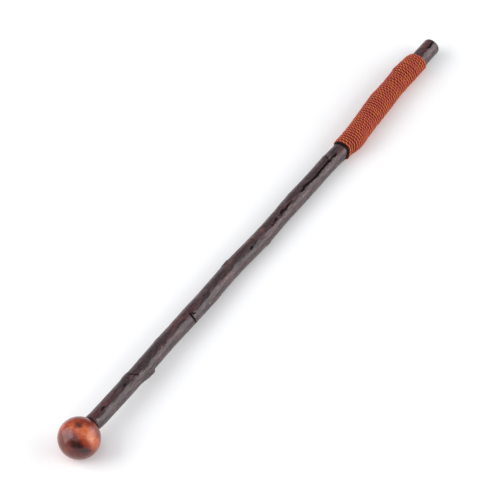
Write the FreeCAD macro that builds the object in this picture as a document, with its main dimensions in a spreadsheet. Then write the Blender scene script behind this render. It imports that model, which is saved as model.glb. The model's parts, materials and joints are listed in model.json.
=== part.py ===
"""Ball-headed fighting stick: a knotty bark-on shaft, a turned ball on a wedged tenon, and a cord-bound grip.

Each piece is modelled about the stick's own axis: the origin is the centre of the ball, X runs from the
ball to the tail, Y is sideways and Z is up. One placement then lays every piece down on the floor, so that
the ball and the fattest turn of the grip both touch z = 0, with the box's bottom centre at the origin.
"""
import FreeCAD, Part
import Sketcher
import math
import os

from FreeCAD import Placement, Rotation, Vector

# ---------------------------------------------------------------- driving dimensions, mm and degrees
SIZES = {
    "ball_diameter": 45.0,
    "tail_end": 655.0,            # from the ball's centre to the sawn end of the tail
    "tail_start": 631.0,          # from here on the tail is turned straight and round
    "tail_diameter": 19.1,
    "tail_chamfer": 1.8,
    "shoulder_start": 17.6,       # the shaft's square shoulder, on the floor of the ball's seat
    "shoulder_end": 22.0,         # the shaft stops being turned round here
    "shoulder_diameter": 19.1,
    "seat_clearance": 0.25,       # radial gap between the shoulder and the ball's seat
    "seat_rim_round": 0.5,
    "tenon_diameter": 11.8,
    "tenon_end": -8.0,
    "glue_line": 0.1,             # radial gap between the tenon and its bore
    "bore_end": -10.0,
    "kerf_depth": 16.0,
    "kerf_mouth": 2.2,            # the saw cut's width at the tenon's end, once the wedge has spread it
    "kerf_root": 1.0,
    "wedge_width": 10.4,
    "underlay_thickness": 0.3,
    "underlay_start": 471.2,
    "underlay_end": 630.3,
    "knot_root_depth": 7.0,       # a knot starts this far from the axis, inside the wood
    "floor_gap": 0.04,            # room for the winding to swell between two of its sections
    "cutter_margin": 1.0,         # how far a cutting shape runs past the wood that it cuts
}
SKETCH_SEED = 9.0                 # a sketch is drawn this large before the sheet's cells size it
SMALLEST_CUT = 1.0                # mm3; a pocket that takes less away has missed the solid
SAME_PLACE = 0.01                 # two edges this close together, in mm, are the same edge

# Cross-sections of the shaft: distance along, offset sideways, offset upwards, diameter.
# The stick bows towards the floor in the middle, which is how it comes to rest when it is laid down.
SHAFT_SECTIONS = [
    (22.0, 0.0, 0.0, 19.1),
    (45.0, -0.4, -1.3, 19.1),
    (80.0, -0.2, -2.3, 19.3),
    (112.0, 0.3, -3.2, 19.4),
    (150.0, 1.3, -4.2, 19.1),
    (190.0, 1.3, -5.0, 19.3),
    (230.0, 1.3, -5.6, 19.4),
    (270.0, 2.2, -5.9, 19.2),
    (300.0, 1.4, -6.0, 19.2),
    (328.0, 0.1, -5.9, 19.2),
    (360.0, 0.3, -5.5, 18.5),
    (388.0, 0.3, -5.0, 19.2),
    (425.0, -0.4, -4.1, 18.8),
    (460.0, -1.3, -2.9, 18.8),
    (498.0, -3.7, -1.0, 19.4),
    (530.0, -1.6, -0.2, 19.0),
    (560.0, 0.5, 0.0, 19.4),
    (598.0, 1.2, 0.7, 18.9),
    (618.0, 0.0, 0.9, 19.0),
    (631.0, -0.7, 0.9, 19.1),
]

# Outer cross-sections of the wound cord: distance along, sideways, upwards, diameter.
GRIP_SECTIONS = [
    (473.2, -2.5, -1.9, 23.6),
    (486.0, -3.2, -1.4, 25.0),
    (498.0, -3.9, -0.9, 26.2),
    (511.0, -2.9, -0.6, 25.6),
    (532.0, -1.3, -0.2, 26.2),
    (556.0, 0.3, 0.0, 26.6),
    (577.0, 0.8, 0.3, 25.1),
    (600.0, 1.3, 0.7, 25.9),
    (614.0, 0.9, 0.8, 25.6),
    (624.0, 0.1, 0.9, 24.4),
    (629.5, -0.6, 0.9, 23.2),
]

# Trimmed knots: distance along, direction around the shaft from sideways towards up,
# diameter at the root, diameter of the cut top, height of the cut top above the axis.
KNOTS = [
    (90.0, 40.0, 14.0, 7.0, 9.9),
    (115.0, 208.0, 17.0, 10.0, 11.0),
    (149.0, 24.0, 11.0, 6.0, 10.1),
    (181.0, 305.0, 14.0, 7.0, 10.4),
    (199.0, 168.0, 13.0, 8.0, 9.9),
    (275.0, 24.0, 12.0, 7.0, 10.2),
    (300.0, 280.0, 12.0, 6.0, 10.2),
    (329.0, 206.0, 10.0, 5.0, 10.1),
    (392.0, 330.0, 14.0, 7.0, 10.3),
    (454.0, 104.0, 14.0, 8.0, 9.8),
]

SECTION_FIELDS = ("along", "side", "lift", "across")
KNOT_FIELDS = ("along", "around", "root", "top", "height")

doc = FreeCAD.newDocument("ball_headed_stick")
sheet = doc.addObject("Spreadsheet::Sheet", "Sizes")
next_row = 1


def put(alias, value):
    """Write one named number into the next row of the sheet."""
    global next_row
    sheet.set(f"A{next_row}", alias)
    sheet.set(f"B{next_row}", str(value))
    sheet.setAlias(f"B{next_row}", alias)
    next_row += 1


def put_table(prefix, fields, rows):
    for number, row in enumerate(rows, 1):
        for field, value in zip(fields, row):
            put(f"{prefix}_{number:02d}_{field}", value)


def lie_of_the_stick():
    """The slope at which the ball and the grip's fattest turn both touch the floor, and the box's centre."""
    ball_radius = SIZES["ball_diameter"] / 2
    slopes = []
    for along, _, lift, across in GRIP_SECTIONS:
        slopes.append(math.atan2(ball_radius + lift - across / 2 - SIZES["floor_gap"], along))
    slope = min(slopes)
    tail_radius = SIZES["tail_diameter"] / 2 - SIZES["tail_chamfer"]
    low_edge = SHAFT_SECTIONS[-1][2] - tail_radius
    reach = SIZES["tail_end"] * math.cos(slope) + abs(low_edge) * math.sin(slope)
    return math.degrees(slope), ball_radius - (reach + ball_radius) / 2


slope_degrees, ball_place = lie_of_the_stick()
for name, size in SIZES.items():
    put(name, size)
put("slope", round(slope_degrees, 4))
put("ball_place", round(ball_place, 3))
put_table("shaft", SECTION_FIELDS, SHAFT_SECTIONS)
put_table("grip", SECTION_FIELDS, GRIP_SECTIONS)
put_table("knot", KNOT_FIELDS, KNOTS)
doc.recompute()


# ---------------------------------------------------------------- helpers
def new_body(label):
    """A body that one shared placement lays on the floor."""
    body = doc.addObject("PartDesign::Body", label)
    body.Label = label
    body.Placement = Placement(Vector(0, 0, 1), Rotation(Vector(0, 1, 0), 1))
    body.setExpression("Placement.Base.x", "Sizes.ball_place")
    body.setExpression("Placement.Base.z", "Sizes.ball_diameter / 2")
    body.setExpression("Placement.Rotation.Angle", "Sizes.slope")
    return body


def origin_plane(body, role):
    return next(plane for plane in body.Origin.OriginFeatures if plane.Role == role)


def sketch_on(body, name, role="YZ_Plane"):
    sketch = body.newObject("Sketcher::SketchObject", name)
    sketch.AttachmentSupport = (origin_plane(body, role), "")
    sketch.MapMode = "FlatFace"
    return sketch


def circle_across(body, name, along, diameter, side=None, lift=None):
    """A round section square to the stick's axis, its place and diameter given as expressions."""
    sketch = sketch_on(body, name)
    sketch.addGeometry(Part.Circle(Vector(0, 0, 0), Vector(0, 0, 1), SKETCH_SEED), False)
    sketch.addConstraint(Sketcher.Constraint("Coincident", 0, 3, -1, 1))
    size = sketch.addConstraint(Sketcher.Constraint("Diameter", 0, 2 * SKETCH_SEED))
    sketch.renameConstraint(size, "across")
    sketch.setExpression("Constraints.across", diameter)
    sketch.setExpression("AttachmentOffset.Base.z", along)
    if side:
        sketch.setExpression("AttachmentOffset.Base.x", side)
    if lift:
        sketch.setExpression("AttachmentOffset.Base.y", lift)
    return sketch


def loft_through(body, kind, name, table, count, grow=""):
    """A smooth loft through a table's sections, with their diameters made larger by the expression grow."""
    sections = []
    for number in range(1, count + 1):
        cell = f"Sizes.{table}_{number:02d}"
        sections.append(circle_across(
            body, f"{name}_section_{number:02d}", f"{cell}_along", f"{cell}_across{grow}",
            f"{cell}_side", f"{cell}_lift"))
    loft = body.newObject(kind, name)
    loft.Profile = sections[0]
    loft.Sections = sections[1:]
    loft.Ruled = False
    doc.recompute()


def pad_between(body, name, start, end, diameter, side=None, lift=None):
    """A straight round length of the stick."""
    pad = body.newObject("PartDesign::Pad", name)
    pad.Profile = circle_across(body, name + "_section", start, diameter, side, lift)
    pad.setExpression("Length", f"({end}) - ({start})")
    doc.recompute()


def pocket_between(body, name, start, end, diameter):
    """Cut away everything round the axis from start, the outer end, down to end."""
    before = body.Shape.Volume
    pocket = body.newObject("PartDesign::Pocket", name)
    pocket.Profile = circle_across(body, name + "_section", start, diameter)
    pocket.setExpression("Length", f"({start}) - ({end})")
    doc.recompute()
    assert body.Shape.Volume < before - SMALLEST_CUT, name + " cut nothing"


def polygon_sketch(body, name, role, corners):
    """A four-sided outline whose corner coordinates are expressions in the sketch's own axes."""
    sketch = sketch_on(body, name, role)
    spots = [Vector(x, y, 0) * SKETCH_SEED for x, y in ((0, 0), (1, 0), (1, 1), (0, 1))]
    for index in range(4):
        sketch.addGeometry(Part.LineSegment(spots[index], spots[(index + 1) % 4]), False)
    for index in range(4):
        sketch.addConstraint(Sketcher.Constraint("Coincident", index, 2, (index + 1) % 4, 1))
    for index, corner in enumerate(corners):
        for kind, value in zip(("DistanceX", "DistanceY"), corner):
            start = spots[index].x if kind == "DistanceX" else spots[index].y
            size = sketch.addConstraint(Sketcher.Constraint(kind, -1, 1, index, 1, start))
            label = f"corner_{index}_{kind[-1].lower()}"
            sketch.renameConstraint(size, label)
            sketch.setExpression("Constraints." + label, value)
    return sketch


def wedge_outline(body, name):
    """The long section of the saw cut and of its wedge: wide at the tenon's end, narrow at its root."""
    end = "Sizes.tenon_end"
    root = "Sizes.tenon_end + Sizes.kerf_depth"
    return polygon_sketch(body, name, "XY_Plane", [
        (end, "-Sizes.kerf_mouth / 2"),
        (root, "-Sizes.kerf_root / 2"),
        (root, "Sizes.kerf_root / 2"),
        (end, "Sizes.kerf_mouth / 2"),
    ])


def finish_round_edge(body, kind, name, size_name, size, along, radius):
    """Round or bevel the full-circle edge of this radius that lies at this distance along, in mm."""
    base = body.Tip
    chosen = []
    for number, edge in enumerate(base.Shape.Edges, 1):
        if edge.Degenerated or not isinstance(edge.Curve, Part.Circle):
            continue
        misfit = max(abs(edge.Curve.Radius - radius), abs(edge.Curve.Center.x - along))
        if misfit < SAME_PLACE:
            chosen.append(f"Edge{number}")
    assert chosen, name + " found no edge"
    finish = body.newObject(kind, name)
    finish.Base = (base, chosen)
    finish.setExpression(size_name, size)
    doc.recompute()


# ---------------------------------------------------------------- the shaft
def add_trimmed_knot(body, number):
    """The stump of a cut side shoot: a cone that leans on the wood and is cut off square."""
    cell = f"Sizes.knot_{number:02d}"
    along, around = KNOTS[number - 1][:2]
    nearest = min(SHAFT_SECTIONS, key=lambda section: abs(section[0] - along))
    section_cell = f"Sizes.shaft_{SHAFT_SECTIONS.index(nearest) + 1:02d}"
    knot = body.newObject("PartDesign::AdditiveCone", f"knot_{number:02d}")
    knot.Placement = Placement(Vector(along, 0, 0), Rotation(Vector(1, 0, 0), around - 90))
    knot.setExpression("Radius1", f"{cell}_root / 2")
    knot.setExpression("Radius2", f"{cell}_top / 2")
    knot.setExpression("Height", f"{cell}_height - Sizes.knot_root_depth")
    knot.setExpression("Placement.Base.x", f"{cell}_along")
    outwards = "Sizes.knot_root_depth * {}(" + f"{cell}_around * 1 deg)"
    knot.setExpression("Placement.Base.y", f"{section_cell}_side + " + outwards.format("cos"))
    knot.setExpression("Placement.Base.z", f"{section_cell}_lift + " + outwards.format("sin"))
    knot.setExpression("Placement.Rotation.Angle", f"{cell}_around - 90")
    doc.recompute()


def make_shaft():
    body = new_body("shaft")
    pad_between(body, "tenon", "Sizes.tenon_end", "Sizes.shoulder_start", "Sizes.tenon_diameter")
    pad_between(body, "shoulder", "Sizes.shoulder_start", "Sizes.shoulder_end", "Sizes.shoulder_diameter")
    loft_through(body, "PartDesign::AdditiveLoft", "stick", "shaft", len(SHAFT_SECTIONS))
    last = f"Sizes.shaft_{len(SHAFT_SECTIONS):02d}"
    pad_between(body, "tail", "Sizes.tail_start", "Sizes.tail_end", "Sizes.tail_diameter",
                f"{last}_side", f"{last}_lift")
    finish_round_edge(body, "PartDesign::Chamfer", "tail_bevel", "Size", "Sizes.tail_chamfer",
                      SIZES["tail_end"], SIZES["tail_diameter"] / 2)
    before = body.Shape.Volume
    kerf = body.newObject("PartDesign::Pocket", "kerf")
    kerf.Profile = wedge_outline(body, "kerf_outline")
    kerf.Midplane = True
    kerf.setExpression("Length", "Sizes.tenon_diameter + 2 * Sizes.cutter_margin")
    doc.recompute()
    assert body.Shape.Volume < before - SMALLEST_CUT, "the kerf cut nothing"
    for number in range(1, len(KNOTS) + 1):
        add_trimmed_knot(body, number)
    return body


# ---------------------------------------------------------------- the head
def make_head_ball():
    body = new_body("head_ball")
    ball = body.newObject("PartDesign::AdditiveSphere", "ball")
    ball.setExpression("Radius", "Sizes.ball_diameter / 2")
    doc.recompute()
    mouth = "Sizes.ball_diameter / 2"
    seat = "Sizes.shoulder_diameter + 2 * Sizes.seat_clearance"
    bore = "Sizes.tenon_diameter + 2 * Sizes.glue_line"
    pocket_between(body, "seat", mouth, "Sizes.shoulder_start", seat)
    pocket_between(body, "bore", "Sizes.shoulder_start", "Sizes.bore_end", bore)
    seat_radius = SIZES["shoulder_diameter"] / 2 + SIZES["seat_clearance"]
    rim = math.sqrt((SIZES["ball_diameter"] / 2) ** 2 - seat_radius ** 2)
    finish_round_edge(body, "PartDesign::Fillet", "seat_rim", "Radius", "Sizes.seat_rim_round",
                      rim, seat_radius)
    return body


def make_tenon_wedge():
    """The hardwood wedge that spreads the tenon against the floor of its blind bore."""
    body = new_body("tenon_wedge")
    wedge = body.newObject("PartDesign::Pad", "wedge")
    wedge.Profile = wedge_outline(body, "wedge_outline")
    wedge.Midplane = True
    wedge.setExpression("Length", "Sizes.wedge_width")
    doc.recompute()
    return body


# ---------------------------------------------------------------- the grip
def make_grip_underlay():
    """One layer of dark tape on the wood, which stops the cord from creeping."""
    body = new_body("grip_underlay")
    count = len(SHAFT_SECTIONS)
    loft_through(body, "PartDesign::AdditiveLoft", "tape", "shaft", count, " + 2 * Sizes.underlay_thickness")
    loft_through(body, "PartDesign::SubtractiveLoft", "wood", "shaft", count)
    shaft_start = "Sizes.shoulder_end - Sizes.cutter_margin"
    shaft_end = "Sizes.tail_start + Sizes.cutter_margin"
    pocket_between(body, "bare_shaft", "Sizes.underlay_start", shaft_start, "Sizes.ball_diameter")
    pocket_between(body, "bare_tail", shaft_end, "Sizes.underlay_end", "Sizes.ball_diameter")
    return body


def make_grip_cord():
    """The outer shape of the close-wound cord, as one sleeve round the tape."""
    body = new_body("grip_cord")
    loft_through(body, "PartDesign::AdditiveLoft", "winding", "grip", len(GRIP_SECTIONS))
    loft_through(body, "PartDesign::SubtractiveLoft", "tape_and_wood", "shaft", len(SHAFT_SECTIONS),
                 " + 2 * Sizes.underlay_thickness")
    return body


# ---------------------------------------------------------------- build, check and write
MM3_PER_CM3 = 1000.0
pieces = [make_shaft(), make_head_ball(), make_tenon_wedge(), make_grip_underlay(), make_grip_cord()]
doc.recompute()
for item in doc.Objects:
    assert not {"Invalid", "Error"} & set(item.State), f"{item.Name} failed to recompute"
for piece in pieces:
    assert not piece.Shape.isNull() and piece.Shape.isValid(), f"{piece.Label} has no valid shape"
    assert len(piece.Shape.Solids) == 1, f"{piece.Label} is not one solid"

os.makedirs("parts", exist_ok=True)
for piece in pieces:
    piece.Shape.exportStep(f"parts/{piece.Label}.step")
    box = piece.Shape.optimalBoundingBox(False)
    print(f"{piece.Label:14s} {piece.Shape.Volume / MM3_PER_CM3:8.2f} cm3  x {box.XMin:8.2f} {box.XMax:8.2f}"
          f"  y {box.YMin:7.2f} {box.YMax:7.2f}  z {box.ZMin:7.3f} {box.ZMax:7.2f}")
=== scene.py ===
"""The looks of a ball-headed fighting stick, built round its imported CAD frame.

Everything is in metres and in the frame's own axes. Shapes are worked out in the stick's axes, which count
from the ball's centre: along the stick to the tail, sideways, and up. "Around" is the angle about the stick,
from sideways towards up.
"""
import json
import math

import bpy
import numpy as np
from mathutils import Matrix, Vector
from mathutils.bvhtree import BVHTree


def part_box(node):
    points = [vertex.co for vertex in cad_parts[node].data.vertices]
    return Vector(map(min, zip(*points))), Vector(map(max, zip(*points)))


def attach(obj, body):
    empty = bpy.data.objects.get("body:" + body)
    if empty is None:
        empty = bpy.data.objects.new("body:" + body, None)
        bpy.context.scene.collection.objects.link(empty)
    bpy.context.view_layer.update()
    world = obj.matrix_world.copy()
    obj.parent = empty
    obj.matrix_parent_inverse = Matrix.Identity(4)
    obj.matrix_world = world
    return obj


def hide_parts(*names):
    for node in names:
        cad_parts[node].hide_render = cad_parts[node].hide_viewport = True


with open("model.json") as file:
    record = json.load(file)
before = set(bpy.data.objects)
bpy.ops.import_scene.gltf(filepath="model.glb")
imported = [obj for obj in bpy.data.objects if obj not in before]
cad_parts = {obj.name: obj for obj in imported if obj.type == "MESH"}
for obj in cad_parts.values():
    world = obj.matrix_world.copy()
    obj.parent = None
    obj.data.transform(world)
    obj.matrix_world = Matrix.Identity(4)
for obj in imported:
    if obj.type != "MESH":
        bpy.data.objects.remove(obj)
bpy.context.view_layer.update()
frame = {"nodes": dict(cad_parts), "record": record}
MM = 0.001

# ---------------------------------------------------------------- the stick's own axes, read from the frame
ball_low, ball_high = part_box("head_ball")
BALL_RADIUS = (ball_high.z - ball_low.z) / 2
ball_middle = (ball_low + ball_high) / 2
BALL_CENTRE = Vector((ball_low.x + BALL_RADIUS, ball_middle.y, ball_middle.z))
mounts = {mount["name"]: mount for mount in frame["record"]["mounts"]}
ALONG = Vector(mounts["tail_spigot"]["axis"]).normalized()
SIDE = Vector((0.0, 1.0, 0.0))
LIFT = ALONG.cross(SIDE).normalized()
TAIL_RADIUS = mounts["tail_spigot"]["dims"]["r_mm"] * MM
STICK = np.array([ALONG, SIDE, LIFT])


def to_stick(points):
    """Frame coordinates to (along, side, lift), counted from the ball's centre."""
    return (np.asarray(points, float) - np.array(BALL_CENTRE)) @ STICK.T


def to_frame(points):
    """(along, side, lift) back to frame coordinates."""
    return np.asarray(points, float) @ STICK + np.array(BALL_CENTRE)


def span(node):
    """How far along the stick a CAD node starts and ends."""
    points = to_stick([vertex.co for vertex in frame["nodes"][node].data.vertices])
    return points[:, 0].min(), points[:, 0].max()


TAIL_END = span("shaft")[1]
GRIP_START, GRIP_END = span("grip_cord")
TAPE_START = span("grip_underlay")[0]

# ---------------------------------------------------------------- sizes of what only the looks have
CORD_DIAMETER = 3.2 * MM
CORD_PITCH = 3.2 * MM
CORD_LAY = 11.0 * MM              # length in which the cord's three strands twist once round
CORD_START_GAP = 2.2 * MM         # from the CAD winding's end to the middle of the first turn
CORD_END_GAP = 1.2 * MM           # from the CAD winding's other end to the side of the last turn
CORD_FIRST_ANGLE = math.radians(235)    # where round the stick the winding starts
CORD_EXTRA_TURN = 0.18            # the share of a turn by which it ends further round than it started
TUCKED_TURNS = 0.22               # how much of a turn at each end dives under its neighbour
TUCK_SHIFT = 0.9 * CORD_DIAMETER  # how far along the stick a tucked end slips under that neighbour
CORD_INSET = 0.12 * MM            # keeps the cord's crowns inside the CAD winding
STEPS_PER_TURN = 110
STRANDS = 3
CORD_POINTS = 18                  # points round the cord
STRAND_GROOVE = 0.34              # depth of the grooves between strands, as a share of the cord's radius
FIRST_PULL = 6.4 * MM             # how far the first turn is pulled out of square, towards the ball
PULLED_SIDE = math.radians(215)   # the side on which it is pulled
PULLED_REACH = math.radians(85)   # how far round from there the pull is felt
LEAN_REACH = 110 * MM             # length in which the turns come back to square
SHOULDER_START = 17.8 * MM        # the shaft's wood starts here, inside the ball's seat
SHAFT_POINTS = 144                # points round the shaft
BARK_SPACING = 0.82 * MM          # between rings from the ball to the grip
COVERED_SPACING = 2.5 * MM        # between rings under the grip
TAIL_SPACING = 0.5 * MM           # between rings beyond the grip
TAIL_BEVEL = 1.8 * MM
# The rings of the bevel and the sawn end, as shares of the last radius and of the way to the end.
TAIL_RINGS = ((0.985, 0.4), (0.95, 0.75), (0.90, 1.0), (0.82, 1.0), (0.6, 0.98), (0.35, 1.0), (0.12, 0.98))
TAPE_THICKNESS = 0.3 * MM
TAPE_SINK = 0.1 * MM              # how far the tape's inside lies in the bark
TAPE_END_GAP = 3.5 * MM           # the tape ends this far before the winding, out of sight
TAPE_RIM = 2.2 * MM               # how far its edge is cut back, so that only a narrow black rim shows, as painted shade
TAPE_RIM_PULLED = 1.0 * MM        # how much less it is cut back where the first turn is pulled
TAPE_RAGGED = 0.25 * MM           # how uneven its edge is
TAPE_RINGS, TAPE_POINTS = 90, 96
BALL_RINGS, BALL_POINTS = 180, 240
SEAT_CLEARANCE = 0.25 * MM        # radial gap between the shaft and the ball's seat
RIM_STEPS = 5                     # the seat's rounded rim: steps, drop, slope and width
RIM_DROP, RIM_SLOPE, RIM_WIDTH = 0.5 * MM, 0.07 * MM, 0.45 * MM
BORE_RADIUS, BORE_END = 6.0 * MM, -10.0 * MM


# ---------------------------------------------------------------- seeded noise
class Noise:
    """Smooth value noise from -1 to 1 on a lattice that repeats, the same on every run."""

    LATTICE = 64

    def __init__(self, seed):
        self.table = np.random.default_rng(seed).uniform(-1, 1, (self.LATTICE,) * 3)

    def __call__(self, x, y, z):
        """The noise at these places, where one lattice cell is one unit wide."""
        cells, shares = [], []
        for value in np.broadcast_arrays(x, y, z):
            floor = np.floor(value)
            share = value - floor
            cells.append(floor.astype(int))
            shares.append(share * share * (3 - 2 * share))
        total = 0.0
        for corner in range(8):
            weight, index = 1.0, []
            for axis in range(3):
                far = corner >> axis & 1
                weight = weight * (shares[axis] if far else 1 - shares[axis])
                index.append((cells[axis] + far) % self.LATTICE)
            total = total + weight * self.table[tuple(index)]
        return total


def bump(distance, width):
    """One at distance 0, falling smoothly to nothing at width."""
    share = np.clip(1 - np.abs(distance) / width, 0, 1)
    return share * share * (3 - 2 * share)


# ---------------------------------------------------------------- meshes
def mesh_object(name, points, faces, material):
    """A smooth-shaded piece of the object, which rides on its one body."""
    mesh = bpy.data.meshes.new(name)
    mesh.from_pydata([tuple(p) for p in points], [], faces)
    mesh.validate()
    mesh.update()
    mesh.materials.append(material)
    mesh.polygons.foreach_set("use_smooth", [True] * len(mesh.polygons))
    obj = bpy.data.objects.new(name, mesh)
    bpy.context.scene.collection.objects.link(obj)
    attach(obj, "root")
    return obj


def tube_faces(rings, around, capped=True):
    """Faces of a tube whose points come ring after ring, closed with one flat face at both ends."""
    faces = []
    for ring in range(rings - 1):
        for step in range(around):
            following = (step + 1) % around
            near, far = ring * around, (ring + 1) * around
            faces.append((near + step, near + following, far + following, far + step))
    if capped:
        faces.append(tuple(range(around - 1, -1, -1)))
        last = (rings - 1) * around
        faces.append(tuple(range(last, last + around)))
    return faces


def paint(obj, name, values):
    """Store one number per point for the material to read."""
    attribute = obj.data.attributes.new(name, "FLOAT", "POINT")
    attribute.data.foreach_set("value", np.asarray(values, np.float32).ravel())


class Surface:
    """The outer surface of a CAD node as a round section at each station, found by rays cast from outside."""

    RAYS = 48
    FITS = 2                      # the first fit finds the centre, the second one measures from it
    OUTSIDE = 60 * MM             # rays start this far from the centre, clear of every piece
    WITHOUT_KNOTS = 80            # the percentage of rays, from the shortest, that a section is fitted to

    def __init__(self, node, start, end, spacing=4 * MM):
        source = frame["nodes"][node].data
        points = [Vector(point) for point in to_stick([vertex.co for vertex in source.vertices])]
        self.tree = BVHTree.FromPolygons(points, [tuple(face.vertices) for face in source.polygons])
        self.stations = np.linspace(start, end, max(2, int(round((end - start) / spacing)) + 1))
        self.centres, self.radii = [], []
        angles = np.linspace(0, 2 * math.pi, self.RAYS, endpoint=False)
        for along in self.stations:
            centre = (0.0, 0.0)
            for _ in range(self.FITS):
                reach = np.array([self.cast(along, centre, angle) for angle in angles])
                centre = self.refit(centre, angles, reach)
            self.centres.append(centre)
            self.radii.append(np.median(reach))
        self.centres = np.array(self.centres)
        self.radii = np.array(self.radii)

    def cast(self, along, centre, angle):
        """The distance from the centre to the outermost wall."""
        direction = Vector((0, math.cos(angle), math.sin(angle)))
        outside = Vector((along, *centre)) + direction * self.OUTSIDE
        hit = self.tree.ray_cast(outside, -direction)[0]
        return self.OUTSIDE - (outside - hit).length if hit else 0.0

    def refit(self, centre, angles, reach):
        """The centre of the circle that fits all but the longest rays, so that a knot doesn't pull it."""
        side = centre[0] + reach * np.cos(angles)
        lift = centre[1] + reach * np.sin(angles)
        keep = reach <= np.percentile(reach, self.WITHOUT_KNOTS)
        system = np.c_[2 * side[keep], 2 * lift[keep], np.ones(keep.sum())]
        found = np.linalg.lstsq(system, side[keep] ** 2 + lift[keep] ** 2, rcond=None)[0]
        return found[0], found[1]

    def centre(self, along):
        """The section's centre there, as (side, lift)."""
        return (np.interp(along, self.stations, self.centres[:, 0]),
                np.interp(along, self.stations, self.centres[:, 1]))

    def radius(self, along):
        """The section's radius there."""
        return np.interp(along, self.stations, self.radii)

    def place(self, along, around, radius):
        """Points at a radius from the surface's own centre line, as (along, side, lift)."""
        side, lift = self.centre(along)
        return np.stack([along, side + radius * np.cos(around), lift + radius * np.sin(around)], -1)


# ---------------------------------------------------------------- materials
# Where the ball's figure sits and which way it runs, as directions from the ball's centre.
DARK_SIDE = (-0.917, -0.266, 0.299)                                           # darker half of the log
HEART_SIDE, HEART_GRAIN = (-0.690, -0.497, 0.527), (0.010, -0.916, -0.402)    # its heart, in growth lines
PALE_SIDE, PALE_GRAIN = (-0.149, -0.734, 0.663), (0.120, -0.650, -0.750)      # pale orange flank
KNOT_SIDE, KNOT_GRAIN = (0.020, 0.020, 0.999), (0.572, -0.820, 0.0)
SPOT_SIDE = (0.280, 0.646, 0.708)


class Nodes:
    """A short way to write a node material. Values may be plain ones or the outputs of other nodes."""

    FAR_SIDE = 16.0               # added to an oval's squared distance on the ball's other side

    def __init__(self, name):
        self.material = bpy.data.materials.new(name)
        self.material.use_nodes = True
        self.tree = self.material.node_tree
        self.shader = self.tree.nodes["Principled BSDF"]

    def add(self, kind, inputs=None, **settings):
        """A node with these settings and inputs."""
        node = self.tree.nodes.new(kind)
        for key, value in settings.items():
            setattr(node, key, value)
        for key, value in (inputs or {}).items():
            self.feed(node.inputs[key], value)
        return node

    def feed(self, socket, value):
        """Link an output to a socket, or set the socket's value."""
        if isinstance(value, bpy.types.NodeSocket):
            self.tree.links.new(value, socket)
        else:
            socket.default_value = value

    def set(self, **values):
        """Feed the shader's own inputs."""
        for key, value in values.items():
            self.feed(self.shader.inputs[key.replace("_", " ")], value)

    def place(self, scale, move=(0, 0, 0)):
        """Object coordinates in millimetres, scaled and then moved."""
        coordinates = self.add("ShaderNodeTexCoord").outputs["Object"]
        millimetres = self.add("ShaderNodeVectorMath", {0: coordinates, "Scale": 1000.0}, operation="SCALE")
        mapping = self.add("ShaderNodeMapping", {
            "Vector": millimetres.outputs[0], "Location": move, "Scale": scale})
        return mapping.outputs[0]

    def vector(self, kind, *values, **named):
        """Vector maths."""
        node = self.add("ShaderNodeVectorMath", named, operation=kind)
        for socket, value in zip(node.inputs, values):
            self.feed(socket, value)
        return node.outputs[0]

    def dot(self, first, second):
        """The dot product of two vectors."""
        node = self.add("ShaderNodeVectorMath", {0: first, 1: second}, operation="DOT_PRODUCT")
        return node.outputs["Value"]

    def oval(self, where, centre, grain, length, width):
        """Distance on the unit ball from the middle of an oval along the grain, 1 at the oval's edge."""
        offset = self.vector("SUBTRACT", where, centre)
        across = Vector(centre).cross(Vector(grain)).normalized()
        spans = []
        for axis, reach in ((grain, length), (tuple(across), width)):
            span_there = self.math("DIVIDE", self.math("ABSOLUTE", self.dot(offset, axis)), reach)
            spans.append(self.math("POWER", span_there, 2.0))
        is_behind = self.math("LESS_THAN", self.dot(where, centre), 0.0)
        far_side = self.math("MULTIPLY", is_behind, self.FAR_SIDE)
        return self.math("SQRT", self.math("ADD", self.math("ADD", *spans), far_side))

    def grey(self, colour):
        """A colour's brightness."""
        return self.add("ShaderNodeRGBToBW", {"Color": colour}).outputs[0]

    def noise(self, where, scale=1.0, detail=3.0, roughness=0.5, distortion=0.0):
        """Noise from 0 to 1."""
        return self.add("ShaderNodeTexNoise", {
            "Vector": where, "Scale": scale, "Detail": detail, "Roughness": roughness,
            "Distortion": distortion}).outputs["Fac"]

    def stored(self, name):
        """A number that paint() stored on the mesh."""
        return self.add("ShaderNodeAttribute", attribute_name=name).outputs["Fac"]

    def ramp(self, value, *stops):
        """A smooth ramp from (place, colour or grey) stops."""
        node = self.add("ShaderNodeValToRGB", {"Fac": value})
        band = node.color_ramp
        while len(band.elements) < len(stops):
            band.elements.new(0.5)
        for element, (place, colour) in zip(band.elements, stops):
            element.position = place
            element.color = (colour,) * 3 + (1,) if isinstance(colour, (int, float)) else (*colour, 1)
        return node.outputs["Color"]

    def reach_ramp(self, reach, *stops):
        """A ramp over a reach from 0 to 2, so its stops are at half the reach."""
        return self.ramp(self.math("MULTIPLY", reach, 0.5), *stops)

    def mix(self, share, first, second):
        """The first colour, with this share of the second."""
        node = self.add("ShaderNodeMix", data_type="RGBA", blend_type="MIX")
        factor, colour_a, colour_b = node.inputs[0], node.inputs[6], node.inputs[7]
        for socket, value in zip((factor, colour_a, colour_b), (share, first, second)):
            is_colour = isinstance(value, tuple) and len(value) == 3
            self.feed(socket, (*value, 1) if is_colour else value)
        return node.outputs[2]

    def math(self, kind, *values):
        """Maths on numbers."""
        node = self.add("ShaderNodeMath", operation=kind)
        for socket, value in zip(node.inputs, values):
            self.feed(socket, value)
        return node.outputs[0]

    def bump(self, *layers):
        """Bump from (height, depth in metres) layers, one on top of another."""
        normal = None
        for height, depth in layers:
            inputs = {"Height": height, "Strength": 1.0, "Distance": depth}
            if normal:
                inputs["Normal"] = normal
            normal = self.add("ShaderNodeBump", inputs).outputs[0]
        return normal


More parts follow.
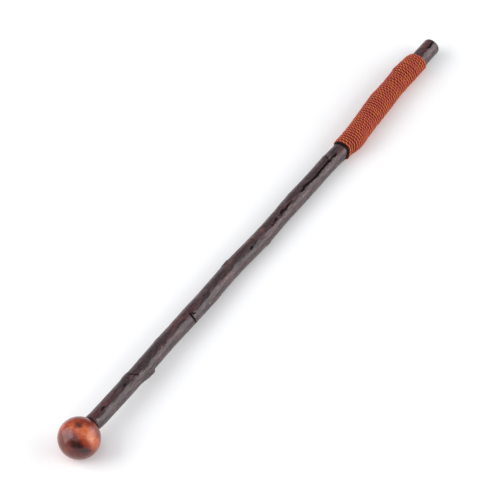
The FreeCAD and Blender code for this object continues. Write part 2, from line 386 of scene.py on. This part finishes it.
def bark_material(name, **gloss):
    """Dark bark with cracks, pale flecks, knots' cut faces and painted shade, under the gloss that it is
    given.
    """
    n = Nodes(name)
    mottle = n.noise(n.place((0.17, 0.42, 0.42)), 1.0, 7.0, 0.70, 0.6)
    streak = n.noise(n.place((0.07, 0.75, 0.75), (13, 3, 9)), 1.0, 6.0, 0.62, 0.8)
    patch = n.noise(n.place((0.03, 0.12, 0.12), (31, 7, 2)), 1.0, 4.0, 0.6)
    grain = n.noise(n.place((0.8, 2.4, 2.4)), 1.0, 5.0, 0.75)
    crack = n.noise(n.place((0.10, 0.95, 0.95), (3, 1, 4)), 1.0, 4.0, 0.55, 1.0)
    crack = n.ramp(crack, (0.460, 0.0), (0.492, 0.85), (0.508, 0.85), (0.540, 0.0))
    dash = n.add("ShaderNodeTexVoronoi", {"Vector": n.place((0.42, 0.15, 0.15)), "Randomness": 1.0})
    dash = n.ramp(dash.outputs["Distance"], (0.12, 0.8), (0.24, 0.0))
    # Mottled wood, redder in patches and darker or paler in zones.
    wood = n.ramp(mottle, (0.40, (0.004, 0.002, 0.003)), (0.47, (0.019, 0.009, 0.010)),
                  (0.54, (0.056, 0.026, 0.029)), (0.62, (0.155, 0.080, 0.080)))
    red = n.ramp(mottle, (0.38, (0.010, 0.002, 0.003)), (0.48, (0.052, 0.009, 0.011)),
                 (0.60, (0.160, 0.036, 0.037)))
    wood = n.mix(n.ramp(patch, (0.44, 0.0), (0.58, 0.80)), wood, red)
    zone = n.noise(n.place((0.045, 0.13, 0.13), (7, 21, 4)), 1.0, 3.0, 0.55)
    wood = n.mix(n.ramp(zone, (0.50, 0.0), (0.60, 0.75)), wood, (0.010, 0.006, 0.007))
    wood = n.mix(n.ramp(zone, (0.38, 0.35), (0.48, 0.0)), wood, (0.150, 0.090, 0.090))
    inner_bark = n.ramp(mottle, (0.38, (0.050, 0.003, 0.004)), (0.48, (0.135, 0.010, 0.011)),
                        (0.60, (0.240, 0.040, 0.040)))
    wood = n.mix(n.stored("red_bark"), wood, inner_bark)
    # Dark streaks, pale grain, pale dashes and black cracks.
    wood = n.mix(n.ramp(streak, (0.51, 0.0), (0.56, 0.9)), wood, (0.004, 0.002, 0.003))
    wood = n.mix(n.ramp(grain, (0.56, 0.0), (0.68, 0.6)), wood, (0.19, 0.125, 0.115))
    wood = n.mix(dash, wood, (0.20, 0.135, 0.115))
    wood = n.mix(crack, wood, (0.003, 0.002, 0.002))
    # The knots' cut faces and rings, painted shade in and round them, and painted near-black shade in
    # hollows.
    reach = n.stored("knot_reach")
    rings = n.math("SINE", n.math("ADD", n.math("MULTIPLY", reach, 80.0), n.math("MULTIPLY", grain, 11.0)))
    face = n.ramp(n.math("ADD", n.math("MULTIPLY", rings, 0.16), grain), (0.25, (0.030, 0.016, 0.014)),
                  (0.52, (0.150, 0.100, 0.090)), (0.80, (0.42, 0.34, 0.31)))
    wood = n.mix(n.reach_ramp(reach, (0.0, 1.0), (0.19, 0.9), (0.215, 0.0)), wood, face)
    # Painted shadow: dark in the middle and at the edge of each cut face and in the groove round it.
    knot_groove_shade = n.reach_ramp(reach, (0.0, 0.8), (0.012, 0.0), (0.20, 0.0), (0.225, 0.9), (0.25, 0.0),
                          (0.46, 0.0), (0.52, 0.85), (0.60, 0.0))
    wood = n.mix(knot_groove_shade, wood, (0.003, 0.002, 0.002))
    # Painted shade: near-black in the seams, creases and fissures and next to the ball's seat.
    wood = n.mix(n.ramp(n.stored("recess_shade"), (0.42, 0.0), (0.72, 1.0)), wood, (0.003, 0.002, 0.002))
    rough = n.ramp(n.noise(n.place((0.2, 0.9, 0.9), (5, 5, 5)), 1.0, 5.0, 0.65), (0.35, 0.24), (0.70, 0.48))
    relief = n.bump((mottle, 0.0007), (streak, 0.00030), (grain, 0.00016), (crack, -0.00025), (dash, 0.00025),
                    (knot_groove_shade, -0.0002))
    n.set(Base_Color=wood, Normal=relief, **{"Roughness": rough, **gloss})
    return n.material


def lacquered_bark():
    """The bark under its lacquer, whose reflections are tinted by the dark wood below."""
    return bark_material("lacquered_bark", Specular_IOR_Level=0.58, Specular_Tint=(1.0, 0.70, 0.76, 1),
                         Coat_Weight=0.22, Coat_Roughness=0.13, Coat_IOR=2.1)


def dull_bark_in_shade():
    """The same bark, dull, without lacquer, where the seams, creases and seat are painted black as shade."""
    return bark_material("dull_bark_in_shade", Roughness=0.85, Specular_IOR_Level=0.10)


def ball_material():
    """Red-brown figured wood under gloss: growth lines round a dark heart, a knot, and a pale flank."""
    n = Nodes("turned_figured_wood")
    where = n.add("ShaderNodeTexCoord").outputs["Object"]
    where = n.vector("SUBTRACT", where, tuple(BALL_CENTRE))
    where = n.vector("SCALE", where, Scale=1 / BALL_RADIUS)
    swirl = n.add("ShaderNodeTexNoise", {"Vector": where, "Scale": 2.4, "Detail": 3.0}).outputs["Color"]
    swirl = n.vector("SCALE", n.vector("SUBTRACT", swirl, (0.5, 0.5, 0.5)), Scale=0.28)
    bent = n.vector("ADD", where, swirl)
    dark_side = n.oval(bent, DARK_SIDE, HEART_GRAIN, 1.00, 0.80)
    heart = n.oval(bent, HEART_SIDE, HEART_GRAIN, 0.62, 0.26)
    flank = n.oval(bent, PALE_SIDE, PALE_GRAIN, 0.78, 0.38)
    speckle = n.noise(n.vector("SCALE", where, Scale=9.0), 1.0, 4.0, 0.6)
    knot = n.math("MULTIPLY", n.oval(bent, KNOT_SIDE, KNOT_GRAIN, 0.26, 0.17),
                  n.math("ADD", 0.4, n.math("MULTIPLY", speckle, 1.2)))
    spot = n.oval(bent, SPOT_SIDE, KNOT_GRAIN, 0.12, 0.07)
    rings = n.math("ADD", n.math("MULTIPLY", heart, 22.0), n.math("MULTIPLY", knot, 5.0))
    lines = n.math("SINE", n.math("ADD", rings, n.math("MULTIPLY", speckle, 4.0)))
    fibre = n.noise(n.vector("MULTIPLY", bent, (30.0, 5.0, 9.0)), 1.0, 4.0, 0.6)
    figure = n.noise(n.vector("MULTIPLY", bent, (2.6, 4.2, 3.4)), 1.0, 5.0, 0.62)
    pores = n.noise(n.vector("MULTIPLY", bent, (9.0, 34.0, 26.0)), 1.0, 4.0, 0.7)
    # The tone is 0 for the darkest wood and 1 for the palest. The figure adds to it or takes from it.
    tone = n.grey(n.reach_ramp(dark_side, (0.30, 0.16), (0.44, 0.20), (0.53, 0.38), (0.9, 0.34)))
    tone = n.math("SUBTRACT", tone, n.grey(n.reach_ramp(heart, (0.2, 0.20), (0.42, 0.10), (0.65, 0.0))))
    tone = n.math("ADD", tone, n.grey(n.reach_ramp(flank, (0.08, 0.32), (0.45, 0.16), (0.62, 0.0))))
    tone = n.math("ADD", tone, n.grey(n.ramp(figure, (0.30, 0.0), (0.70, 0.22))))
    tone = n.math("ADD", tone, n.math("MULTIPLY", lines, 0.060))
    tone = n.math("ADD", tone, n.math("MULTIPLY", n.math("SUBTRACT", fibre, 0.5), 0.30))
    tone = n.math("SUBTRACT", tone, n.grey(n.ramp(pores, (0.48, 0.0), (0.75, 0.12))))
    # Painted shade: the wood is darker on the half facing along the stick, darkening the ball's rim there.
    along_stick = n.dot(bent, tuple(ALONG))
    tone = n.math("SUBTRACT", tone, n.grey(n.ramp(along_stick, (0.10, 0.0), (0.70, 0.14))))
    wood = n.ramp(tone, (0.04, (0.020, 0.005, 0.003)), (0.18, (0.062, 0.008, 0.004)),
                  (0.36, (0.18, 0.020, 0.008)), (0.56, (0.38, 0.062, 0.018)), (0.76, (0.54, 0.15, 0.050)),
                  (1.0, (0.76, 0.35, 0.17)))
    in_knot = n.reach_ramp(knot, (0.10, 0.9), (0.36, 0.6), (0.44, 0.2), (0.60, 0.0))
    wood = n.mix(in_knot, wood, (0.055, 0.018, 0.018))
    wood = n.mix(n.reach_ramp(spot, (0.2, 0.85), (0.5, 0.0)), wood, (0.05, 0.014, 0.010))
    n.set(Base_Color=wood, Roughness=0.26, Specular_IOR_Level=0.32, Specular_Tint=(1.0, 0.60, 0.66, 1),
          Coat_Weight=0.22, Coat_Roughness=0.20, Coat_IOR=2.0, Normal=n.bump((pores, 0.00005)))
    return n.material


def cord_material():
    """Rust-red twisted cord with painted shade: near-black red in the lay and towards the stick, orange
    fibres on the crowns.
    """
    n = Nodes("rust_cord")
    fibre = n.noise(n.place((2.6, 2.6, 2.6)), 1.0, 5.0, 0.7)
    patch = n.noise(n.place((0.09, 0.12, 0.12)), 1.0, 3.0, 0.6)
    # Painted shade and light from the stored value: dark in the lay and towards the stick, light on the
    # crowns.
    crown_and_shade = n.math("ADD", n.stored("crown_and_shade"), n.math("MULTIPLY", n.math("SUBTRACT", fibre, 0.5), 0.35))
    orange = n.ramp(crown_and_shade, (0.0, (0.010, 0.001, 0.001)), (0.42, (0.085, 0.006, 0.002)),
                    (0.75, (0.36, 0.050, 0.015)), (1.0, (0.70, 0.185, 0.060)))
    rosy = n.ramp(crown_and_shade, (0.0, (0.010, 0.001, 0.001)), (0.42, (0.095, 0.007, 0.004)),
                  (0.75, (0.36, 0.044, 0.024)), (1.0, (0.62, 0.125, 0.075)))
    colour = n.mix(n.ramp(patch, (0.40, 0.0), (0.60, 1.0)), orange, rosy)
    n.set(Base_Color=colour, Roughness=0.60, Specular_IOR_Level=0.2, Sheen_Weight=0.04, Sheen_Roughness=0.5,
          Normal=n.bump((fibre, 0.00030)))
    return n.material


def tape_material():
    """Black cloth tape; the narrow black rim it shows in front of the cord is painted shade under the first
    turn.
    """
    n = Nodes("black_tape_painted_shade")
    weave = n.noise(n.place((2.5, 2.5, 2.5)), 1.0, 3.0, 0.6)
    n.set(Base_Color=n.ramp(weave, (0.3, (0.003, 0.002, 0.002)), (0.7, (0.014, 0.009, 0.008))),
          Roughness=0.8, Specular_IOR_Level=0.15, Normal=n.bump((weave, 0.0001)))
    return n.material


def hardwood_material():
    """Pale bare wood, for the wedge."""
    n = Nodes("bare_hardwood")
    grain = n.noise(n.place((0.15, 1.6, 1.6)), 1.0, 4.0, 0.6)
    n.set(Base_Color=n.ramp(grain, (0.3, (0.30, 0.17, 0.08)), (0.7, (0.55, 0.38, 0.21))),
          Roughness=0.6, Normal=n.bump((grain, 0.0001)))
    return n.material


def floor_material():
    """A nearly white, matt floor."""
    n = Nodes("pale_floor")
    tone = n.noise(n.place((0.004, 0.004, 0.004)), 1.0, 2.0, 0.5)
    n.set(Base_Color=n.ramp(tone, (0.3, 0.90), (0.7, 0.92)), Roughness=0.85, Specular_IOR_Level=0.2)
    return n.material


# ---------------------------------------------------------------- the shaft
# Side shoots and thorns trimmed flush: along, around in degrees, reach towards the ball, reach towards the
# tail, half width, height. Millimetres.
KNOTS = [
    (90, 40, 9, 8, 6.5, 0.45),
    (116.5, 208, 18, 4.5, 6.5, 1.15),
    (181, 305, 8, 8, 6.5, 0.85),
    (275, 24, 9, 8, 6.0, 0.55),
    (300, 280, 7, 8, 6.0, 0.75),
    (329, 206, 4, 4.5, 4.5, 0.55),
    (392, 330, 8, 8, 6.5, 0.75),
    (454, 104, 8, 8, 6.5, 0.40),
    # Painted highlight: this small raised cut face by the seat is pale so that it reads as the glint there.
    (24.8, 124, 2.6, 4.5, 4.6, 0.35),
    (60, 252, 4, 4, 3.5, 0.30),
    (222, 152, 3, 4, 3.0, 0.20),
    (250, 62, 4, 4, 3.2, 0.25),
    (318, 66, 4, 4, 3.5, 0.25),
    (432, 232, 4, 4, 3.5, 0.30),
]
# Bark that swells over buried thorns, uncut: the same columns.
SWELLINGS = [
    (149, 24, 12, 10, 6.0, 0.40),
    (237, 206, 14, 10, 7.0, 0.30),
    (205, 30, 16, 14, 8.0, 0.25),
    (133, 88, 5, 5, 3.5, 0.25),
    (166, 250, 8, 8, 5.0, 0.35),
    (410, 75, 8, 8, 5.0, 0.25),
    (345, 250, 14, 12, 7.0, 0.35),
    (443, 20, 8, 8, 5.0, 0.25),
]
# Creases where the bark folded as the stick bent, painted dull and black as shade along them: along in mm,
# start and end around in degrees, slant and depth in mm.
CREASES = [
    (194.0, 96, 190, 1.0, 0.85),
    (194.5, 96, 132, 6.0, 0.70),
    (89.5, 34, 124, 8.0, 0.50),
    (122.5, 175, 235, 0.0, 0.70),
    (365.0, 250, 330, 3.0, 0.45),
    (454.0, 60, 118, -6.0, 0.45),
]
# Ragged seams along the top, grooved, their black a painted reflection of the dark gap between the lights
# at the highlight's edge: start and end in mm, around in degrees, how much of it shows, from 0 to past 1
# for nearly all of it.
SEAMS_AND_DARK_REFLECTION = [(298, 350, 108, 0.50), (345, 466, 105, 1.15), (33, 96, 99, 0.60), (630, 656, 102, 0.60)]
# Where the outer bark has worn through to the red inner bark: along in mm, around in degrees, reach along and
# across in mm, strength.
RED_PATCHES = [
    (28, 72, 16, 9, 1.0),
    (48, 66, 18, 8, 0.8),
    (188, 70, 30, 7, 0.6),
    (318, 60, 40, 7, 0.5),
    (644, 60, 14, 9, 0.8),
    (250, 215, 30, 6, 0.5),
]
KNOT_FACE = 0.46                  # the share of a trimmed knot's reach that is its flat cut face
NO_KNOT = 3.0                     # the knot reach of bark that is far from every knot
DULL_EDGE = 0.28                  # a face whose dull-and-shade mask passes this on average has no lacquer
SEAT_SHADOW_REACH = 4.8                   # how far from the seat the bark is dull and painted black as contact shadow, mm
# What the masks say at the edge of the sawn end, which shows its rings as a knot's cut face does.
END_GRAIN = {"knot_reach": KNOT_FACE, "recess_shade": 0.0, "red_bark": 0.0, "dull_and_shade": 0.0}


def turned(around, towards):
    """The signed angle from one direction to another, in radians."""
    return (around - towards + math.pi) % (2 * math.pi) - math.pi


def bark_relief(along, around, radius):
    """How far the bark stands off the round section, and the masks of its look and its painted shade.
    Millimetres inside.
    """
    x, r = along / MM, radius / MM
    y, z = r * np.cos(around), r * np.sin(around)
    # Ridges, finer ridges and grain, then fissures in the rough patches, and pimples.
    relief = 0.16 * noise_a(x / 26, y / 5, z / 5) + 0.14 * noise_b(x / 9, y / 1.6, z / 1.6)
    relief += 0.06 * noise_a(x / 2.4, y / 0.9, z / 0.9)
    rough_patch = np.clip(0.25 + 2.0 * noise_b(x / 34, y / 8, z / 8), 0, 1)
    fissure = bump(noise_a(x / 13 + 7, y / 3.4, z / 3.4), 0.11) * rough_patch
    pimple = np.clip(noise_b(x / 1.5, y / 3.2, z / 3.2) - 0.42, 0, 0.4) / 0.4
    relief += 0.17 * pimple - 0.18 * fissure
    knot_reach, dull_and_shade = np.full_like(x, NO_KNOT), np.zeros_like(x)
    for table, cut in ((KNOTS, KNOT_FACE), (SWELLINGS, 0.0)):
        for place, degrees, back, front, width, height in table:
            away = (x - place) / np.where(x < place, back, front)
            across = turned(around, math.radians(degrees)) * r / width
            reach = np.sqrt(away ** 2 + across ** 2) * (1 + 0.20 * noise_b(x / 2.4 + place, y / 2.4, z / 2.4))
            top = np.clip((1 - reach) / (1 - cut), 0, 1)
            relief += height * top * top * (3 - 2 * top)
            if cut:
                # A raised rim round the cut face, a hollow in its middle and a groove outside it.
                rim = 0.08 + 0.14 * height
                relief += rim * bump(reach - cut, 0.16) - 1.6 * rim * bump(reach, 0.42)
                relief -= rim * bump(reach - 1.08, 0.22)
                knot_reach = np.minimum(knot_reach, reach)
    nothing = x * 0
    for place, start, end, slant, depth in CREASES:
        share = (np.degrees(around) % 360 - start) / (end - start)
        line = place + slant * share + 0.5 * noise_a(y, z, nothing + place)
        inside = np.clip(np.minimum(share, 1 - share) * 6, 0, 1)
        relief -= depth * bump(x - line, 1.3) * inside
        relief += 0.3 * depth * bump(x - line + 2.2, 1.8) * inside
        # Painted shade: the bark along each crease is dull and black.
        dull_and_shade = np.maximum(dull_and_shade, bump(x - line, 1.9) * inside * min(depth / 0.75, 1))
    for start, end, degrees, showing in SEAMS_AND_DARK_REFLECTION:
        wander = 0.9 * noise_b(x / 17, nothing, nothing + degrees)
        wander += 0.6 * noise_a(x / 2.6, nothing, nothing + 5)
        across = turned(around, math.radians(degrees)) * r - wander
        broken = np.clip(showing + 1.6 * noise_a(x / 6.5, nothing + degrees, nothing), 0, 1)
        inside = np.clip(np.minimum(x - start, end - x) / 6, 0, 1) * broken
        relief -= 0.36 * bump(across, 1.4) * inside
        # Painted reflection: the seam's black, beside the highlight's edge, stands for the dark gap between
        # the lights.
        dull_and_shade = np.maximum(dull_and_shade, bump(across, 2.1) * inside)
    # Painted contact shadow: the bark is black and dull for a few mm out of the ball's seat.
    dull_and_shade = np.maximum(dull_and_shade, np.clip((SHOULDER_START / MM + SEAT_SHADOW_REACH - x) / 1.5, 0, 1))
    # Painted shade: this mask turns the bark near-black in seams, creases, fissures and by the seat.
    recess_shade = np.maximum(dull_and_shade, 0.62 * fissure)
    red_bark = np.zeros_like(x)
    for place, degrees, reach_along, reach_across, strength in RED_PATCHES:
        reach = np.hypot((x - place) / reach_along, turned(around, math.radians(degrees)) * r / reach_across)
        worn = bump(reach * (1 + 0.4 * noise_a(x / 5, y / 2, z / 2)), 1.0)
        red_bark = np.maximum(red_bark, strength * worn)
    return relief * MM, {"knot_reach": knot_reach, "recess_shade": recess_shade, "red_bark": red_bark, "dull_and_shade": dull_and_shade}


def make_shaft():
    """The knotty stick: dense rings on the CAD shaft's own centre line, with bark relief."""
    surface = Surface("shaft", SHOULDER_START + 4.5 * MM, TAIL_END - 3 * MM)
    covered_start = GRIP_START - 2 * MM
    stations = np.concatenate([
        np.arange(SHOULDER_START, covered_start, BARK_SPACING),
        np.arange(covered_start, GRIP_END, COVERED_SPACING),
        np.arange(GRIP_END, TAIL_END - TAIL_BEVEL, TAIL_SPACING)])
    around = np.linspace(0, 2 * math.pi, SHAFT_POINTS, endpoint=False)
    along, angle = np.meshgrid(stations, around, indexing="ij")
    radius = surface.radius(along)
    relief, masks = bark_relief(along, angle, radius)
    # The bark is smooth in the seat and under the grip, and calmer on the tail.
    buried = np.clip((along - SHOULDER_START - 1.5 * MM) / (4 * MM), 0, 1)
    sheath = np.clip(np.minimum(along - GRIP_START, GRIP_END - along) / (2 * MM), 0, 1)
    tail = np.clip((along - GRIP_END) / (6 * MM), 0, 1)
    calm = buried * (1 - sheath) * (1 - 0.55 * tail)
    radius = radius + relief * calm - 0.05 * MM * (1 - calm)
    rings = list(surface.place(along, angle, radius))
    masks = {name: list(values) for name, values in masks.items()}
    end_centre = np.array([stations[-1], *surface.centre(stations[-1])])
    last = rings[-1] - end_centre
    for share, forward in TAIL_RINGS:
        ring = end_centre + last * share
        ring[:, 0] = stations[-1] + (TAIL_END - stations[-1]) * forward
        rings.append(ring)
        for name in masks:
            masks[name].append(np.full(SHAFT_POINTS, END_GRAIN[name] * min(share / 0.9, 1)))
    obj = mesh_object("bark_shaft", to_frame(np.concatenate(rings)), tube_faces(len(rings), SHAFT_POINTS),
                      lacquered_bark())
    dull_and_shade = np.concatenate(masks.pop("dull_and_shade"))
    for name, values in masks.items():
        paint(obj, name, np.concatenate(values))
    # Faces in the painted shade of the seams, creases and seat get the dull bark.
    obj.data.materials.append(dull_bark_in_shade())
    is_dull_and_shaded = [int(dull_and_shade[list(face.vertices)].mean() > DULL_EDGE) for face in obj.data.polygons]
    obj.data.polygons.foreach_set("material_index", is_dull_and_shaded)
    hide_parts("shaft")
    return surface


# ---------------------------------------------------------------- the ball
def make_ball():
    """The turned head: a lathe-true ball with a rounded seat rim, dense enough for clean reflections."""
    rim = math.asin((TAIL_RADIUS + SEAT_CLEARANCE) / BALL_RADIUS)
    outline = []
    for step in range(1, BALL_RINGS + 1):
        polar = math.pi - (math.pi - rim) * step / BALL_RINGS
        outline.append((BALL_RADIUS * math.cos(polar), BALL_RADIUS * math.sin(polar)))
    edge_along, edge_radius = outline[-1]
    for step in range(1, RIM_STEPS + 1):
        turn = math.pi / 2 * step / RIM_STEPS
        outline.append((edge_along - RIM_DROP * (1 - math.cos(turn)) - RIM_SLOPE * math.sin(turn),
                        edge_radius - RIM_WIDTH * math.sin(turn)))
    outline.append((SHOULDER_START, outline[-1][1]))
    outline.append((SHOULDER_START, BORE_RADIUS))
    outline.append((BORE_END, BORE_RADIUS))
    around = np.linspace(0, 2 * math.pi, BALL_POINTS, endpoint=False)
    rings = []
    for along, radius in outline:
        rings.append(np.stack([0 * around + along, radius * np.cos(around), radius * np.sin(around)], -1))
    obj = mesh_object("turned_ball", to_frame(np.concatenate(rings)), tube_faces(len(rings), BALL_POINTS),
                      ball_material())
    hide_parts("head_ball")


# ---------------------------------------------------------------- the grip
def pulled(around):
    """How much of the first turn's pull is felt in this direction, from 0 to 1."""
    return bump(turned(around, PULLED_SIDE), PULLED_REACH)


def lean(along, around):
    """How far the first turns sit off square. They are pulled towards the ball on one side."""
    left = np.clip(1 - (along - GRIP_START) / LEAN_REACH, 0, 1.1)
    return FIRST_PULL * left ** 2 * (0.25 - pulled(around))


def make_tape(shaft):
    """The tape under the cord, cut to the lean of the first turn, with a slightly uneven edge."""
    stations = np.linspace(TAPE_START, GRIP_END - TAPE_END_GAP, TAPE_RINGS)
    around = np.linspace(0, 2 * math.pi, TAPE_POINTS, endpoint=False)
    along, angle = np.meshgrid(stations, around, indexing="ij")
    along += lean(along, angle)
    # Painted shade: only a narrow black rim of tape shows in front of the first turn, as its shade.
    along[0] += TAPE_RIM - TAPE_RIM_PULLED * pulled(around)
    along[0] += TAPE_RAGGED * noise_a(np.cos(around) * 2, np.sin(around) * 2, around * 0)
    outside = shaft.place(along, angle, shaft.radius(along) + TAPE_THICKNESS)
    inside = shaft.place(along, angle, shaft.radius(along) - TAPE_SINK)
    rings = np.concatenate([outside, inside[::-1]])
    faces = tube_faces(len(rings), TAPE_POINTS, capped=False)
    last = (len(rings) - 1) * TAPE_POINTS
    for step in range(TAPE_POINTS):
        following = (step + 1) % TAPE_POINTS
        faces.append((last + step, last + following, following, step))
    obj = mesh_object("underlay_tape", to_frame(rings.reshape(-1, 3)), faces,
                      tape_material())
    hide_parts("grip_underlay")


def strand_outline():
    """Three strands twisted tight, as (share of the cord's radius, angle, how near a strand's crown)."""
    outline = []
    for step in range(CORD_POINTS):
        angle = 2 * math.pi * step / CORD_POINTS
        crown_and_shade = abs(math.cos(STRANDS / 2 * angle))
        outline.append((1 - STRAND_GROOVE * (1 - crown_and_shade), angle, crown_and_shade))
    return outline


# Where a turn rides up on its neighbours or sinks between them: along in mm, around in degrees, height in mm.
GRIP_LUMPS = [
    (556, 30, 0.45),
    (600, 30, 0.45),
    (582, 70, 0.35),
    (512, 96, 0.35),
    (538, 290, 0.3),
    (612, 150, 0.3),
    (627, 40, -0.6),
]
LUMP_REACH, LUMP_SWEEP = 6, 1.2   # how far along in mm and around in radians it is felt


def make_cord():
    """One three-strand cord wound over the tape, each turn against the last, its ends tucked under."""
    winding = Surface("grip_cord", GRIP_START + 0.5 * MM, GRIP_END - 0.5 * MM, 3 * MM)
    radius = CORD_DIAMETER / 2
    first, last = GRIP_START + CORD_START_GAP, GRIP_END - radius - CORD_END_GAP
    turns = round((last - first) / CORD_PITCH) + CORD_EXTRA_TURN
    steps = int(turns * STEPS_PER_TURN)
    share = np.linspace(0, 1, steps)
    phase = share * turns * 2 * math.pi
    nothing = 0 * share
    wander = 0.14 * MM * noise_a(phase / 2.4, share * 9, nothing)
    wander += 0.20 * MM * noise_b(phase / 9, nothing, nothing + 1)
    turns_to_end = np.minimum(share, 1 - share) * turns
    fade = np.clip(turns_to_end, 0, 1)
    tuck = np.clip(1 - turns_to_end / TUCKED_TURNS, 0, 1) ** 2
    around = phase + CORD_FIRST_ANGLE
    along = first + share * (last - first) + wander * fade
    along += lean(along, around)
    along += np.where(share < 0.5, 1, -1) * tuck * TUCK_SHIFT
    lumps = 0.16 * MM * noise_b(phase / 1.9, share * 5, nothing + 3)
    lumps += 0.14 * MM * noise_a(np.round(phase / (2 * math.pi)) * 3.7, np.cos(phase), np.sin(phase))
    for place, degrees, height in GRIP_LUMPS:
        near = bump(along / MM - place, LUMP_REACH) * bump(turned(around, math.radians(degrees)), LUMP_SWEEP)
        lumps += height * MM * near
    off = winding.radius(along) - radius - CORD_INSET + lumps * (1 - tuck) - tuck * CORD_DIAMETER
    side, lift = winding.centre(along)
    out_side, out_lift = np.cos(around), np.sin(around)
    line = np.stack([along, side + off * out_side, lift + off * out_lift], -1)
    # Two directions square to the cord, one away from the stick and one along it.
    heading = np.gradient(line, axis=0)
    heading /= np.linalg.norm(heading, axis=1)[:, None]
    outward = np.stack([nothing, out_side, out_lift], -1)
    outward -= heading * np.sum(outward * heading, axis=1)[:, None]
    outward /= np.linalg.norm(outward, axis=1)[:, None]
    across = np.cross(heading, outward)
    travelled = np.concatenate([[0], np.cumsum(np.linalg.norm(np.diff(line, axis=0), axis=1))])
    twist = travelled / CORD_LAY * 2 * math.pi + 1.1 * noise_b(phase / 5.1, nothing + 2, nothing)
    rings, lay_shade = [], []
    for reach, angle, crown_and_shade in strand_outline():
        swing = angle + twist
        spoke = outward * np.cos(swing)[:, None] + across * np.sin(swing)[:, None]
        rings.append(line + radius * reach * spoke)
        # Painted shade: darker where the cord faces the stick and between strands, lighter on the outward
        # crowns.
        facing = np.clip(0.15 + 1.05 * np.cos(swing), 0, 1)
        lay_shade.append(facing * (0.50 + 0.50 * crown_and_shade))
    points, lay_shade = np.stack(rings, 1), np.stack(lay_shade, 1)
    obj = mesh_object("wound_cord", to_frame(points.reshape(-1, 3)), tube_faces(steps, len(rings)),
                      cord_material())
    paint(obj, "crown_and_shade", lay_shade)
    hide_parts("grip_cord")
    print("cord length, m:", round(float(travelled[-1]), 3), "turns:", round(turns, 1),
          "points:", len(obj.data.vertices))


# ---------------------------------------------------------------- the wedge
def dress_wedge():
    """The wedge, which nobody sees, keeps its CAD shape and gets bare wood."""
    materials = frame["nodes"]["tenon_wedge"].data.materials
    materials.clear()
    materials.append(hardwood_material())


# ---------------------------------------------------------------- camera, light and floor
CAMERA_AIM = (-0.012791, -0.002093, 0.018449)
CAMERA_DISTANCE = 5.0
CAMERA_HEADING = math.radians(55.1163)      # of its sight, from +Y towards +X
CAMERA_DIP = math.radians(52.0803)          # of its sight below the level
CAMERA_SENSOR, CAMERA_LENS = 36.0, 339.99264    # millimetres
FLOOR_REACH = 12.0


def make_camera():
    """A long lens that looks down on the stick, obliquely from the ball's side."""
    camera = bpy.data.objects.new("camera", bpy.data.cameras.new("camera"))
    bpy.context.scene.collection.objects.link(camera)
    sight = Vector((math.sin(CAMERA_HEADING) * math.cos(CAMERA_DIP),
                    math.cos(CAMERA_HEADING) * math.cos(CAMERA_DIP),
                    -math.sin(CAMERA_DIP)))
    camera.location = Vector(CAMERA_AIM) - sight * CAMERA_DISTANCE
    camera.rotation_mode = "QUATERNION"
    camera.rotation_quaternion = sight.to_track_quat("-Z", "Y")
    camera.data.sensor_width = CAMERA_SENSOR
    camera.data.lens = CAMERA_LENS
    camera.data.clip_start, camera.data.clip_end = 0.1, 50
    bpy.context.scene.camera = camera


def soft_light(name, direction, distance, width, height, brightness):
    """A soft white panel that faces the frame's origin; its brightness counts like the surrounding's."""
    data = bpy.data.lights.new(name, "AREA")
    data.shape = "RECTANGLE"
    data.size, data.size_y = width, height
    data.energy = brightness * math.pi * width * height
    light = bpy.data.objects.new(name, data)
    bpy.context.scene.collection.objects.link(light)
    towards = Vector(direction).normalized()
    light.location = towards * distance
    light.rotation_mode = "QUATERNION"
    light.rotation_quaternion = (-towards).to_track_quat("-Z", "Y")


def make_studio():
    """The floor, three soft panels and a dim, slightly blue surrounding."""
    mesh = bpy.data.meshes.new("floor")
    corners = [(-1, -1), (1, -1), (1, 1), (-1, 1)]
    mesh.from_pydata([(x * FLOOR_REACH, y * FLOOR_REACH, 0) for x, y in corners], [], [(0, 1, 2, 3)])
    mesh.materials.append(floor_material())
    floor = bpy.data.objects.new("floor", mesh)
    bpy.context.scene.collection.objects.link(floor)
    soft_light("right_panel", (0.50, -0.78, 0.42), distance=2.6, width=4.0, height=2.3, brightness=3.0)
    soft_light("left_panel", (-0.55, 0.70, 0.455), distance=2.6, width=2.8, height=2.7, brightness=3.2)
    soft_light("overhead_panel", (-0.45, 0.10, 0.89), distance=2.6, width=3.0, height=3.0, brightness=1.0)
    world = bpy.data.worlds.new("studio")
    world.use_nodes = True
    background = world.node_tree.nodes["Background"]
    background.inputs["Color"].default_value = (0.9, 0.93, 1.0, 1)
    background.inputs["Strength"].default_value = 0.25
    bpy.context.scene.world = world
    bpy.context.scene.view_settings.view_transform = "Standard"


noise_a, noise_b = Noise(3), Noise(8)
shaft_surface = make_shaft()
make_ball()
make_tape(shaft_surface)
make_cord()
dress_wedge()
make_camera()
make_studio()
